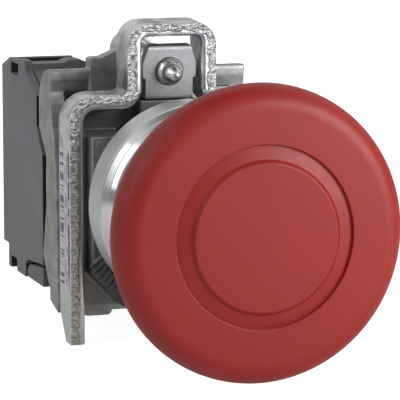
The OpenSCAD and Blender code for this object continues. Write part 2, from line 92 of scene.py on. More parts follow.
CAP_LOW, CAP_HIGH = box_mm("mushroom_cap")
BEZEL_LOW, BEZEL_HIGH = box_mm("bezel")
GASKET_LOW, GASKET_HIGH = box_mm("bezel_gasket")
SEAL_LOW, SEAL_HIGH = box_mm("lip_seal")
RETAINER_LOW, RETAINER_HIGH = box_mm("seal_retainer")
COLLAR_LOW, COLLAR_HIGH = box_mm("collar_body")
YOKE_LOW, YOKE_HIGH = box_mm("clamp_yoke")
LABEL_LOW, LABEL_HIGH = box_mm("rating_label")
WASHER_LOW, WASHER_HIGH = box_mm("clamp_washer")
PLUNGER_LOW, PLUNGER_HIGH = box_mm("plunger")
CLIP_LOW, CLIP_HIGH = box_mm("plunger_circlip")
PLATE_LOW, PLATE_HIGH = box_mm("actuator_plate")
PIN_LOW, PIN_HIGH = box_mm("cap_pin")
SCREW_HIGH = box_mm("clamp_screw")[1]
HOUSING_HIGH = box_mm("no_housing")[1]
COVER_LOW = box_mm("no_cover")[0]

# the clamp screw rises towards the rear; these are the middle of its washer and its slope
SCREW_Y = (WASHER_LOW.y + WASHER_HIGH.y) / 2
SCREW_Z = (WASHER_LOW.z + WASHER_HIGH.z) / 2
SCREW_TILT = math.radians(4)
BLOCK_PITCH = (HOUSING_HIGH.x + COVER_LOW.x) / 2
BLOCK_HALF = (HOUSING_HIGH.x - COVER_LOW.x) / 2
PANEL_GAP = COLLAR_LOW.y
PIN_Y = (PIN_LOW.y + PIN_HIGH.y) / 2
PIN_R = (PIN_HIGH.y - PIN_LOW.y) / 2
# the outer outline of the yoke's strip: its shoulders' height, its loop's half width, and the radii where
# the shoulders, the loop and the corners between them turn
YOKE_SHOULDER, YOKE_LOOP = 14.75, 6.7
YOKE_BEND, YOKE_LOOP_BEND, YOKE_CORNER = 4.0, 3.1, 0.8


# ---- Outlines ----


def arc(a, b, radius, start, end, steps=8):
    """Points from one angle to another, in degrees."""
    points = []
    for i in range(steps + 1):
        angle = math.radians(start + (end - start) * i / steps)
        points.append((a + radius * math.cos(angle), b + radius * math.sin(angle)))
    return points


def rounded(points, radius=0.0, steps=4):
    """The closed outline with its corners rounded; a point's own third value overrides radius."""
    result = []
    count = len(points)
    for i, point in enumerate(points):
        corner = Vector(point[:2])
        size = point[2] if len(point) > 2 else radius
        before = Vector(points[i - 1][:2]) - corner
        after = Vector(points[(i + 1) % count][:2]) - corner
        turn = before.angle(after, math.pi)
        if size <= 0 or turn > math.radians(176):
            result.append(tuple(corner))
            continue
        reach = size / math.tan(turn / 2)
        reach = min(reach, 0.49 * before.length, 0.49 * after.length)
        start = corner + before.normalized() * reach
        end = corner + after.normalized() * reach
        for k in range(steps + 1):
            t = k / steps
            result.append(tuple(start * (1 - t) ** 2 + corner * 2 * t * (1 - t) + end * t * t))
    return result


def mirrored(points):
    return [(-p[0], *p[1:]) for p in reversed(points)]


# ---- Shapes, as bmeshes in millimetres ----


def prism(outline, low, high, axis="X"):
    """An outline extruded from low to high. The outline is in (Y, Z), (X, Z) or (X, Y)."""
    place = {
        "X": lambda a, b, h: (h, a, b),
        "Y": lambda a, b, h: (a, h, b),
        "Z": lambda a, b, h: (a, b, h),
    }[axis]
    shape = bmesh.new()
    bottom = [shape.verts.new(place(*p, low)) for p in outline]
    top = [shape.verts.new(place(*p, high)) for p in outline]
    shape.faces.new(bottom)
    shape.faces.new(top)
    for i in range(len(outline)):
        k = (i + 1) % len(outline)
        shape.faces.new((bottom[i], bottom[k], top[k], top[i]))
    bmesh.ops.recalc_face_normals(shape, faces=shape.faces)
    return shape


def block(low, high):
    (x0, y0, z0), (x1, y1, z1) = low, high
    return prism([(x0, z0), (x1, z0), (x1, z1), (x0, z1)], y0, y1, "Y")


def lathe(profile, x=0.0, z=0.0, steps=ROUND_STEPS, paint=None, wobble=None):
    """A closed profile of (radius, Y) turned about the line through x and z.

    paint(radius, y) gives a face's material number. wobble(angle, y) is added to the radius.
    """
    shape = bmesh.new()
    rings = []
    for radius, y in profile:
        if radius < 1e-6:
            rings.append([shape.verts.new((x, y, z))] * steps)
            continue
        ring = []
        for i in range(steps):
            angle = math.tau * i / steps
            r = radius + (wobble(angle, y) if wobble else 0.0)
            ring.append(shape.verts.new((x + r * math.cos(angle), y, z + r * math.sin(angle))))
        rings.append(ring)
    for j, ring in enumerate(rings):
        other = rings[(j + 1) % len(rings)]
        if ring[0] is ring[1] and other[0] is other[1]:
            continue
        here, there = profile[j], profile[(j + 1) % len(profile)]
        number = paint((here[0] + there[0]) / 2, (here[1] + there[1]) / 2) if paint else 0
        for i in range(steps):
            k = (i + 1) % steps
            corners = [ring[i], ring[k], other[k], other[i]]
            corners = [v for n, v in enumerate(corners) if v is not corners[n - 1]]
            face = shape.faces.new(corners)
            face.material_index = number
    bmesh.ops.recalc_face_normals(shape, faces=shape.faces)
    return shape


def rod(radius, low, high, a=0.0, b=0.0, axis="Y", steps=HOLE_STEPS):
    """A plain cylinder along an axis, for holes and pins."""
    circle = arc(a, b, radius, 0, 360 * (steps - 1) / steps, steps - 1)
    return prism(circle, low, high, axis)


def coil(radius, wire, low, high, turns, x, steps=20, sides=8):
    """A compression spring along Y with closed ends, about the line through x, between low and high."""
    shape = bmesh.new()
    closed = 0.9
    total = turns + 2 * closed
    count = int(total * steps)
    rings = []
    middle = radius - wire
    span = high - low - 2 * wire
    end_rise = 0.5 * wire
    for i in range(count + 1):
        turn = total * i / count
        if turn < closed:
            height = end_rise * 2 * turn / closed
        elif turn > total - closed:
            height = span - end_rise * 2 * (total - turn) / closed
        else:
            height = 2 * end_rise + (span - 4 * end_rise) * (turn - closed) / turns
        angle = math.tau * turn
        ring = []
        for k in range(sides):
            around = math.tau * k / sides
            r = middle + wire * math.cos(around)
            along = low + wire + height + wire * math.sin(around)
            ring.append(shape.verts.new((x + r * math.cos(angle), along, r * math.sin(angle))))
        rings.append(ring)
    for ring, other in zip(rings, rings[1:]):
        for k in range(sides):
            n = (k + 1) % sides
            shape.faces.new((ring[k], ring[n], other[n], other[k]))
    shape.faces.new(rings[0])
    shape.faces.new(rings[-1])
    bmesh.ops.recalc_face_normals(shape, faces=shape.faces)
    return shape


def thread(pitch, depth, low, high):
    """A wobble for lathe: a screw thread between low and high."""

    def cut(angle, y):
        if not low <= y <= high:
            return 0.0
        phase = (y / pitch + angle / math.tau) % 1.0
        fade = min(1.0, (y - low) / (0.5 * pitch), (high - y) / (0.5 * pitch))
        return -depth * max(0.0, fade) * (1 - abs(2 * phase - 1))

    return cut


def turned(shape, degrees, axis="Y"):
    """Turns a shape about an axis of the row frame."""
    turn = Matrix.Rotation(math.radians(degrees), 3, axis)
    bmesh.ops.rotate(shape, matrix=turn, verts=shape.verts)
    return shape


def tilted(shape):
    """Turns a shape by the clamp screw's slope about the middle of its washer."""
    turn = Matrix.Rotation(SCREW_TILT, 3, "X")
    bmesh.ops.rotate(shape, cent=(0, SCREW_Y, SCREW_Z), matrix=turn, verts=shape.verts)
    return shape


# ---- Pieces ----


def new_object(name, shape):
    mesh = bpy.data.meshes.new(name)
    bmesh.ops.scale(shape, vec=(MM, MM, MM), verts=shape.verts)
    shape.to_mesh(mesh)
    shape.free()
    obj = bpy.data.objects.new(name, mesh)
    bpy.context.scene.collection.objects.link(obj)
    return obj


def apply_modifiers(obj):
    bpy.context.view_layer.update()
    result = bpy.data.meshes.new_from_object(obj.evaluated_get(bpy.context.evaluated_depsgraph_get()))
    old = obj.data
    obj.modifiers.clear()
    obj.data = result
    bpy.data.meshes.remove(old)


def combine(obj, operation, *shapes):
    """Boolean of obj with each shape in turn."""
    for shape in shapes:
        tool = new_object("tool", shape)
        step = obj.modifiers.new("combine", "BOOLEAN")
        step.operation = operation
        step.solver = "EXACT"
        step.object = tool
        apply_modifiers(obj)
        bpy.data.objects.remove(tool)


def cast(obj, voxel=0.15, rounds=3):
    """Rounds every edge as a casting has it: a fine remesh, then a little smoothing."""
    remesh = obj.modifiers.new("cast", "REMESH")
    remesh.mode = "VOXEL"
    remesh.voxel_size = voxel * MM
    smooth = obj.modifiers.new("smooth", "SMOOTH")
    smooth.factor = 0.5
    smooth.iterations = rounds
    apply_modifiers(obj)


def tilt_mesh(obj):
    """The same turn as tilted, for a mesh that is finished."""
    place = Vector((0, SCREW_Y, SCREW_Z)) * MM
    turn = Matrix.Translation(place) @ Matrix.Rotation(SCREW_TILT, 4, "X") @ Matrix.Translation(-place)
    obj.data.transform(turn)


def bevel(obj, width, segments=3, angle=32):
    step = obj.modifiers.new("edges", "BEVEL")
    step.width = width * MM
    step.segments = segments
    step.limit_method = "ANGLE"
    step.angle_limit = math.radians(angle)
    step.use_clamp_overlap = False
    step.harden_normals = False
    apply_modifiers(obj)


def finish_piece(obj, body, materials, nodes=(), angle=32):
    mesh = obj.data
    numbers = [p.material_index for p in mesh.polygons]
    mesh.materials.clear()
    for material in materials:
        mesh.materials.append(material)
    for polygon, number in zip(mesh.polygons, numbers):
        polygon.material_index = min(number, len(materials) - 1)
    mesh.shade_smooth()
    mesh.set_sharp_from_angle(angle=math.radians(angle))
    even = obj.modifiers.new("even", "WEIGHTED_NORMAL")
    even.keep_sharp = True
    apply_modifiers(obj)
    if nodes:
        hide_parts(*nodes)
    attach(obj, body)


def dress(node, material):
    """Gives a CAD node that stays in view its material."""
    mesh = frame["nodes"][node].data
    mesh.materials.clear()
    mesh.materials.append(material)


# ---- Materials ----


def add_node(tree, kind, inputs=(), **settings):
    """A new node with its settings; an input is linked when it is given a socket, and set otherwise."""
    node = tree.nodes.new(kind)
    for key, value in settings.items():
        setattr(node, key, value)
    for key, value in dict(inputs).items():
        if isinstance(value, bpy.types.NodeSocket):
            tree.links.new(value, node.inputs[key])
        else:
            node.inputs[key].default_value = value
    return node


class Surface:
    """A Principled material whose colour, roughness and bump come from nodes in object space."""

    def __init__(self, name, color, roughness, metallic=0.0, **fixed):
        self.material = bpy.data.materials.new(name)
        self.material.use_nodes = True
        self.tree = self.material.node_tree
        self.shader = self.tree.nodes["Principled BSDF"]
        self.shader.inputs["Base Color"].default_value = (*color, 1)
        self.shader.inputs["Roughness"].default_value = roughness
        self.shader.inputs["Metallic"].default_value = metallic
        for key, value in fixed.items():
            self.shader.inputs[key.replace("_", " ")].default_value = value
        self.place = self.add("ShaderNodeTexCoord").outputs["Object"]
        self.last_normal = None

    def add(self, kind, inputs=(), **settings):
        return add_node(self.tree, kind, inputs, **settings)

    def coords(self, stretch=(1, 1, 1)):
        """Object coordinates in millimetres, divided by stretch along each axis."""
        scale = [1000 / s for s in stretch]
        return self.add("ShaderNodeMapping", {"Vector": self.place, "Scale": scale}).outputs[0]

    def axes(self):
        """The separate object coordinates in millimetres."""
        return self.add("ShaderNodeSeparateXYZ", {"Vector": self.coords()}).outputs

    def noise(self, per_mm, stretch=(1, 1, 1), detail=4.0, roughness=0.55):
        inputs = {"Vector": self.coords(stretch), "Scale": per_mm, "Detail": detail, "Roughness": roughness}
        return self.add("ShaderNodeTexNoise", inputs).outputs["Fac"]

    def spread(self, value, low, high, start=0.3, end=0.7):
        """The value's start to end carried to low to high."""
        inputs = {"Value": value, "From Min": start, "From Max": end, "To Min": low, "To Max": high}
        return self.add("ShaderNodeMapRange", inputs).outputs[0]

    def math(self, operation, a, b=0.0):
        return self.add("ShaderNodeMath", {0: a, 1: b}, operation=operation).outputs[0]

    def mix(self, share, a, b):
        a, b = ((*value, 1) if isinstance(value, tuple) else value for value in (a, b))
        return self.add("ShaderNodeMix", {0: share, 6: a, 7: b}, data_type="RGBA").outputs[2]

    def facing(self, axis, start, end):
        """0 to 1 as the surface's own normal turns towards an axis, such as (0, -1, 0)."""
        normal = self.add("ShaderNodeNewGeometry").outputs["Normal"]
        towards = self.add("ShaderNodeVectorMath", {0: normal, 1: axis}, operation="DOT_PRODUCT")
        return self.spread(towards.outputs["Value"], 0.0, 1.0, start, end)

    def color(self, value):
        self.tree.links.new(value, self.shader.inputs["Base Color"])

    def rough(self, value):
        self.tree.links.new(value, self.shader.inputs["Roughness"])

    def bump(self, height, distance):
        """distance is the full height in millimetres."""
        inputs = {"Height": height, "Distance": distance * MM}
        if self.last_normal:
            inputs["Normal"] = self.last_normal
        self.last_normal = self.add("ShaderNodeBump", inputs).outputs[0]
        self.tree.links.new(self.last_normal, self.shader.inputs["Normal"])


def plastic(name, color, roughness, grain=0.004, variation=0.12, front=None, gloss=0.5):
    """Moulded plastic: a fine eroded grain, faint flow marks and a little change of gloss.

    front, if given, is a painted shade: a near-black colour for the faces towards the panel, which stands
    for the shade of the narrow gap before them.
    """
    s = Surface(name, color, roughness, Specular_IOR_Level=gloss)
    dark = tuple(c * (1 - variation) for c in color)
    light = tuple(min(1.0, c * (1 + variation)) for c in color)
    tone = s.mix(s.spread(s.noise(0.12, detail=3), 0, 1), dark, light)
    # painted shade: the faces towards the panel take the front colour
    s.color(s.mix(s.facing((0, -1, 0), 0.93, 0.99), tone, front) if front else tone)
    s.rough(s.spread(s.noise(1.4, detail=5), roughness - 0.05, roughness + 0.06))
    s.bump(s.noise(7.0, detail=3), grain)
    s.bump(s.noise(0.35, detail=2), grain * 3)
    return s.material


def turned_metal(name, color, roughness, ring=0.002, variation=0.1):
    """Metal turned on a lathe about Y: fine rings on the side, and a soft change of tone."""
    s = Surface(name, color, roughness, metallic=1.0)
    dark = tuple(c * (1 - variation) for c in color)
    s.color(s.mix(s.spread(s.noise(0.3, detail=4), 0, 1), dark, color))
    rings = s.noise(6.0, stretch=(12, 0.5, 12), detail=3)
    s.rough(s.spread(rings, roughness * 0.8, roughness * 1.25))
    s.bump(rings, ring)
    return s.material


def cast_metal(name, color, roughness, grain=0.02):
    """Tumbled die-cast zinc: matte, mottled, with a coarse skin and a fine one, and painted shade in its
    hollows.
    """
    s = Surface(name, color, roughness, metallic=0.85)
    dark = tuple(c * 0.72 for c in color)
    light = tuple(c * 1.25 for c in color)
    mottled = s.mix(s.spread(s.noise(0.5, detail=6), 0, 1), dark, light)
    specks = s.spread(s.noise(5.0, detail=2), 0.0, 0.35, 0.55, 0.8)
    skin = s.mix(specks, mottled, tuple(c * 1.7 for c in color))
    # painted shade: the recess above the front plate and the low part of the plate with the grooves of its
    # grip are darkened, for the shade they lie in
    axes = s.axes()
    above = s.math("MULTIPLY", s.spread(axes["Z"], 0, 1, 8.9, 9.2), s.spread(axes["Z"], 1, 0, 14.0, 15.2))
    recess = s.math("MULTIPLY", above, s.spread(axes["Y"], 1, 0, 15.5, 18.0))
    grip = s.math("MULTIPLY", s.spread(axes["Z"], 0.9, 0, -10.0, -3.0), s.spread(axes["Y"], 1, 0, 7.0, 9.0))
    painted_shade = s.math("MAXIMUM", s.math("MULTIPLY", recess, 0.85), grip)
    s.color(s.mix(painted_shade, skin, tuple(c * 0.22 for c in color)))
    s.rough(s.spread(s.noise(2.0, detail=6), roughness - 0.12, roughness + 0.12))
    s.bump(s.noise(3.2, detail=6), grain)
    s.bump(s.noise(0.6, detail=3), grain * 1.5)
    return s.material


def strip_depth(s):
    """How far a place on the yoke's front lies from the strip's outer edge, in millimetres."""
    axes = s.axes()
    x, z = s.math("ABSOLUTE", axes["X"]), axes["Z"]

    def beyond(value, start):
        return s.math("MAXIMUM", s.math("SUBTRACT", value, start))

    def before(value, end):
        return s.math("MAXIMUM", s.math("SUBTRACT", end, value))

    def length(a, b):
        place = s.add("ShaderNodeCombineXYZ", {0: a, 1: b}).outputs[0]
        return s.add("ShaderNodeVectorMath", {0: place}, operation="LENGTH").outputs["Value"]

    rise = 0.2
    top = YOKE_HIGH.z - rise
    bend_x, bend_z = YOKE_HIGH.x - YOKE_BEND, YOKE_SHOULDER - YOKE_BEND
    leg = s.math("SUBTRACT", YOKE_BEND, length(beyond(x, bend_x), beyond(z, bend_z)))
    loop_x, loop_z = YOKE_LOOP - YOKE_LOOP_BEND, top - YOKE_LOOP_BEND
    loop = s.math("SUBTRACT", YOKE_LOOP_BEND, length(beyond(x, loop_x), beyond(z, loop_z)))
    corner_x, corner_z = YOKE_LOOP + YOKE_CORNER, YOKE_SHOULDER + YOKE_CORNER
    corner = s.math("SUBTRACT", length(before(x, corner_x), before(z, corner_z)), YOKE_CORNER)
    above = s.math("GREATER_THAN", z, 15.0)
    part = s.add("ShaderNodeMix", {0: above, 2: leg, 3: loop}).outputs[0]
    return s.math("MINIMUM", part, corner)


def plated_strip(name):
    """Zinc-plated strip: satin rolled faces, and sheared ones, torn outside and burnished inside."""
    s = Surface(name, (0.42, 0.43, 0.44), 0.36, metallic=0.9)
    stain = s.spread(s.noise(0.28, detail=4), 0, 1, 0.44, 0.62)
    rolled = s.mix(stain, (0.76, 0.775, 0.78), (0.35, 0.335, 0.37))
    cut = s.facing((0, -1, 0), 0.55, 0.85)
    # the sheared face: fine grains, drawn out across the strip
    grains = s.noise(1.9, stretch=(1.2, 1.2, 0.7), detail=5, roughness=0.6)
    lines = s.noise(2.7, stretch=(3.0, 3.0, 0.35), detail=4, roughness=0.6)
    torn = s.math("ADD", s.math("MULTIPLY", grains, 0.6), s.math("MULTIPLY", lines, 0.4))
    wander = s.spread(s.noise(0.8, detail=3), -0.35, 0.35)
    burnished = s.spread(s.math("ADD", strip_depth(s), wander), 0.0, 1.0, 1.1, 1.4)
    sparkle = s.mix(s.spread(torn, 0, 1, 0.42, 0.56), (0.20, 0.195, 0.20), (1.0, 1.0, 1.0))
    smooth = s.mix(s.spread(s.noise(0.5, detail=3), 0, 1), (0.55, 0.54, 0.58), (0.78, 0.76, 0.82))
    height = s.axes()["Z"]
    low = s.spread(height, 1.0, 0.0, -2.0, 9.0)
    brown = s.mix(s.spread(lines, 0, 1, 0.4, 0.6), (0.46, 0.42, 0.37), (0.98, 0.94, 0.87))
    face = s.mix(low, s.mix(burnished, sparkle, smooth), s.mix(burnished, brown, (0.80, 0.78, 0.72)))
    s.color(s.mix(cut, s.mix(low, rolled, (0.74, 0.76, 0.75)), face))
    satin = s.spread(s.noise(1.2, detail=5), 0.24, 0.4)
    harsh = s.spread(torn, 0.5, 0.2, 0.42, 0.58)
    sheared = s.add("ShaderNodeMix", {0: burnished, 2: harsh, 3: 0.3}).outputs[0]
    s.rough(s.add("ShaderNodeMix", {0: cut, 2: satin, 3: sheared}).outputs[0])
    s.bump(s.noise(4.0, detail=4), 0.006)
    rough_part = s.math("MULTIPLY", cut, s.math("SUBTRACT", 1.0, burnished))
    s.bump(s.math("MULTIPLY", torn, rough_part), 0.45)
    return s.material


def steel(name, color=(0.76, 0.76, 0.75), roughness=0.21, grain=0.004):
    s = Surface(name, color, roughness, metallic=1.0)
    s.color(s.mix(s.spread(s.noise(0.8, detail=5), 0, 1), tuple(c * 0.85 for c in color), color))
    s.rough(s.spread(s.noise(2.5, detail=5), roughness - 0.07, roughness + 0.1))
    s.bump(s.noise(5.0, detail=3), grain)
    return s.material


def rubber(name):
    s = Surface(name, (0.018, 0.018, 0.019), 0.68)
    s.rough(s.spread(s.noise(1.0, detail=4), 0.6, 0.78))
    s.bump(s.noise(4.0, detail=5), 0.01)
    return s.material


def printed_label(name):
    """Pale sticker with plain printed bars and a bar code, and no lettering."""
    paper = (0.63, 0.62, 0.68)
    ink = (0.06, 0.05, 0.09)
    s = Surface(name, paper, 0.5)
    width = LABEL_HIGH.y - LABEL_LOW.y
    axes = s.axes()
    across = s.spread(axes["Y"], 0, 1, LABEL_LOW.y, LABEL_HIGH.y)
    along = s.spread(axes["Z"], 0, 1, LABEL_LOW.z, LABEL_HIGH.z)
    # a bar code in the rear half of the label, and three rows of dashes beside it
    bars = s.math("GREATER_THAN", s.noise(2.4, stretch=(90, 90, 1.0), detail=2), 0.5)
    code = s.math("MULTIPLY", s.math("GREATER_THAN", across, 0.52), s.math("LESS_THAN", across, 0.92))
    dashes = s.math("GREATER_THAN", s.noise(1.1, stretch=(90, width / 4, 1.6), detail=1), 0.47)
    rows = s.math("LESS_THAN", s.math("FRACT", s.math("MULTIPLY", across, 6.5)), 0.42)
    text = s.math("MULTIPLY", s.math("MULTIPLY", dashes, rows), s.math("LESS_THAN", across, 0.48))
    marks = s.math("ADD", s.math("MULTIPLY", bars, code), text)
    inside = s.math("MULTIPLY", s.math("GREATER_THAN", along, 0.03), s.math("LESS_THAN", along, 0.97))
    share = s.math("MULTIPLY", s.math("MULTIPLY", marks, inside), 0.85)
    s.color(s.mix(share, paper, ink))
    s.bump(s.noise(2.0, detail=3), 0.004)
    return s.material


RED = plastic("red_cap_plastic", (0.275, 0.009, 0.006), 0.46, grain=0.005, variation=0.06, gloss=0.45)
GREY = plastic("grey_plastic", (0.09, 0.09, 0.095), 0.5)
IVORY = plastic("ivory_plastic", (0.60, 0.55, 0.44), 0.5)
# the block's faces towards the panel get a near-black painted shade
BLOCK = plastic("block_plastic", (0.15, 0.151, 0.168), 0.46, grain=0.008, front=(0.012, 0.012, 0.014))
LATCH = plastic("latch_plastic", (0.13, 0.13, 0.14), 0.5, grain=0.008)
SIGNAL_RED = plastic("signal_red_plastic", (0.45, 0.03, 0.02), 0.45)
SIGNAL_GREEN = plastic("signal_green_plastic", (0.03, 0.25, 0.07), 0.45)
RUBBER = rubber("black_rubber")
SATIN = turned_metal("satin_chrome", (0.72, 0.72, 0.74), 0.36, ring=0.004)
BRIGHT = turned_metal("bright_chrome", (0.80, 0.80, 0.82), 0.12, ring=0.001)
ZINC = cast_metal("cast_zinc", (0.40, 0.40, 0.39), 0.5)
STRIP = plated_strip("plated_strip")
PLATED = steel("plated_steel", (0.38, 0.378, 0.395), 0.42, grain=0.0015)
STEEL = steel("bright_steel")
WIRE = steel("spring_wire", (0.42, 0.42, 0.42), 0.3)
BRASS = steel("contact_brass", (0.70, 0.48, 0.22), 0.28)
PAPER = printed_label("label_paper")


# ---- Head ----


def mushroom_cap():
    face = CAP_LOW.y
    radius = CAP_HIGH.x
    disc_r, step_r, groove = 9.85, 12.2, 0.95
    front = face + 0.5
    rim = face + 6.2
    inside = face + 2.9
    hub_r = PIN_HIGH.x + 0.2
    plunger_r = PLUNGER_HIGH.x
    # the round edge, nearly a quarter of an ellipse
    across, deep = 3.3, 3.6
    edge = []
    for degrees in range(90, -1, -5):
        a = math.radians(degrees)
        outward = across * math.cos(a) ** 0.92
        rearward = deep * (1 - math.sin(a)) ** 1.04
        edge.append((radius - across + outward, front + rearward))
    profile = [
        (0, face), (disc_r, face, 0.4), (disc_r + 0.45, face + 0.5, 0.35),
        (step_r - 0.1, face + groove, 0.08), (step_r, face + groove, 0.05), (step_r, front, 0.2),
        *edge, (radius - 0.45, rim, 0.35),
        (radius - 1.7, rim, 0.35), (radius - 1.9, inside + 1, 0.4), (radius - 2.9, inside, 0.6),
        (hub_r + 1.2, inside, 0.8), (hub_r, inside + 1.2, 0.8), (hub_r, CAP_HIGH.y, 0.3),
        (plunger_r + 0.02, CAP_HIGH.y, 0.2), (plunger_r + 0.02, PLUNGER_LOW.y), (0, PLUNGER_LOW.y)
    ]
    obj = new_object("cap_moulding", lathe(rounded(profile, steps=6), steps=192))
    combine(obj, "DIFFERENCE", rod(PIN_R + 0.02, -radius, radius, PIN_Y, 0, "X"))
    finish_piece(obj, "head", [RED], ["mushroom_cap"], angle=30)


def cap_pin():
    left, right = PIN_LOW.x, PIN_HIGH.x
    profile = rounded([(0, left), (PIN_R, left, 0.2), (PIN_R, right, 0.2), (0, right)])
    # made about Y, then laid along X
    shape = turned(lathe(profile, steps=HOLE_STEPS), -90, "Z")
    bmesh.ops.translate(shape, vec=(0, PIN_Y, 0), verts=shape.verts)
    finish_piece(new_object("cap_cross_pin", shape), "head", [STEEL], ["cap_pin"])


def plunger():
    r, clip_r, neck = PLUNGER_HIGH.x, 3.2, 2.5
    back = PLUNGER_HIGH.y
    # how deep the two grooves are where the detent's balls hold the head out and in
    detent = 0.5
    profile = [
        (0, PLUNGER_LOW.y), (r, PLUNGER_LOW.y, 0.3), (r, 2.9), (r - detent, 3.8, 0.2), (r, 4.7), (r, 7.4),
        (r - detent, 8.3, 0.2), (r, 9.2), (r, CLIP_LOW.y), (clip_r, CLIP_LOW.y), (clip_r, CLIP_HIGH.y),
        (r, CLIP_HIGH.y, 0.1), (r, PLATE_LOW.y, 0.2), (neck, PLATE_LOW.y), (neck, back, 0.25), (0, back)
    ]
    obj = new_object("plunger_shaft", lathe(rounded(profile), steps=96))
    finish_piece(obj, "head", [GREY], ["plunger"])


def plunger_circlip():
    outer, inner = CLIP_HIGH.x, 3.25
    start, end = -70, 250
    ring = arc(0, 0, outer, start, end, 40) + arc(0, 0, inner, end, start, 40)
    # a small hole near each end, for the pliers
    ears = []
    for side in (-1, 1):
        x = 4.4 * side * math.cos(math.radians(start))
        z = 4.4 * math.sin(math.radians(start))
        ears.append(rod(0.45, CLIP_LOW.y - 1, CLIP_HIGH.y + 1, x, z))
    obj = new_object("circlip", prism(ring, CLIP_LOW.y, CLIP_HIGH.y, "Y"))
    combine(obj, "DIFFERENCE", *ears)
    finish_piece(obj, "head", [WIRE], ["plunger_circlip"])


def actuator_plate():
    end = PLATE_HIGH.z
    x = PLATE_HIGH.x - end
    outline = arc(x, 0, end, -90, 90, 24) + arc(-x, 0, end, 90, 270, 24)
    obj = new_object("actuator_bar", prism(outline, PLATE_LOW.y, PLATE_HIGH.y, "Y"))
    bevel(obj, 0.2)
    combine(obj, "DIFFERENCE", rod(2.52, PLATE_LOW.y - 1, PLATE_HIGH.y + 1))
    finish_piece(obj, "head", [GREY], ["actuator_plate"])


# ---- Bezel ----


def bezel():
    r, barrel = BEZEL_HIGH.x, 11.0
    front, back, end = BEZEL_LOW.y, GASKET_LOW.y, BEZEL_HIGH.y
    mouth_r, mouth_back, hub_bore, cavity_r = 10.9, -6, 9.4, 8.5
    plunger_bore, guide_front, guide_back = 4.06, 1, 4
    groove_r, groove_front, groove_back = 10.3, 8.1, 9.9
    profile = [
        (mouth_r, front, 0.15), (mouth_r, mouth_back), (hub_bore, mouth_back, 0.2),
        (hub_bore, guide_front), (plunger_bore, guide_front), (plunger_bore, guide_back),
        (cavity_r, guide_back), (cavity_r, end, 0.1), (barrel - 0.4, end, 0.1), (barrel, end - 0.4, 0.1),
        (barrel, groove_back, 0.08), (groove_r, groove_back), (groove_r, groove_front),
        (barrel, groove_front, 0.08), (barrel, back, 0.1), (r - 0.15, back),
        (r, back - 0.15), (r, front + 2.35, 0.1), (r - 0.3, front + 2.2, 0.05),
        (r - 0.15, front + 1.95, 0.1), (r - 0.75, front + 0.95, 0.12), (r - 0.85, front + 0.9, 0.05),
        (r - 1.45, front + 0.25, 0.3), (r - 1.9, front, 0.2)
    ]

    def paint(radius, y):
        """The chamfers of the front rim are polished."""
        return 1 if y < front + 2.1 and radius > mouth_r + 0.6 else 0

    shape = lathe(rounded(profile, steps=5), steps=192, paint=paint)
    obj = new_object("bezel_ring", shape)
    key = rounded([(-1.5, 10.6), (1.5, 10.6), (1.5, 12.1, 0.3), (-1.5, 12.1, 0.3)])
    combine(obj, "UNION", prism(key, back, PANEL_GAP - 0.2, "Y"))
    # the bayonet's two slots, where the collar's lugs go in
    slot_low, slot_high = (groove_r, groove_front + 0.01, -2.3), (barrel + 1, end + 1, 2.3)
    slots = [turned(block(slot_low, slot_high), angle) for angle in (45, 225)]
    combine(obj, "DIFFERENCE", *slots)
    finish_piece(obj, "fixed_unit", [SATIN, BRIGHT], ["bezel"], angle=28)


def bezel_gasket():
    low, high, r = GASKET_LOW.y, GASKET_HIGH.y, GASKET_HIGH.x
    inner = 12.3
    profile = [
        (inner, low, 0.1), (r, low, 0.15), (r, high, 0.25), (r - 0.7, high, 0.1),
        (r - 0.85, high - 0.15, 0.05), (r - 1.15, high - 0.15, 0.05), (r - 1.3, high, 0.1),
        (inner, high, 0.2)
    ]
    obj = new_object("gasket", lathe(rounded(profile)))
    finish_piece(obj, "fixed_unit", [RUBBER], ["bezel_gasket"])


def lip_seal():
    back, front = SEAL_HIGH.y, SEAL_LOW.y
    hub, outer = 9.05, SEAL_HIGH.x
    profile = [
        (hub, back - 1.5, 0.05), (hub + 0.55, front, 0.1), (outer, front, 0.1), (outer, back, 0.1),
        (hub + 0.65, back, 0.1), (hub + 0.45, back - 1, 0.1)
    ]
    obj = new_object("seal_ring", lathe(rounded(profile)))
    finish_piece(obj, "fixed_unit", [RUBBER], ["lip_seal"])


def seal_retainer():
    front, back, r = RETAINER_LOW.y, RETAINER_HIGH.y, RETAINER_HIGH.x
    inner, neck, seat = 9.3, 10.85, BEZEL_LOW.y - 0.01
    profile = [
        (inner, front, 0.35), (r - 0.5, front, 0.4), (r, front + 0.5, 0.2), (r, seat, 0.05), (neck, seat),
        (neck, back, 0.1), (inner, back, 0.1)
    ]
    obj = new_object("retainer_ring", lathe(rounded(profile, steps=6), steps=192))
    finish_piece(obj, "fixed_unit", [BRIGHT], ["seal_retainer"])


# ---- Collar, yoke and clamp ----


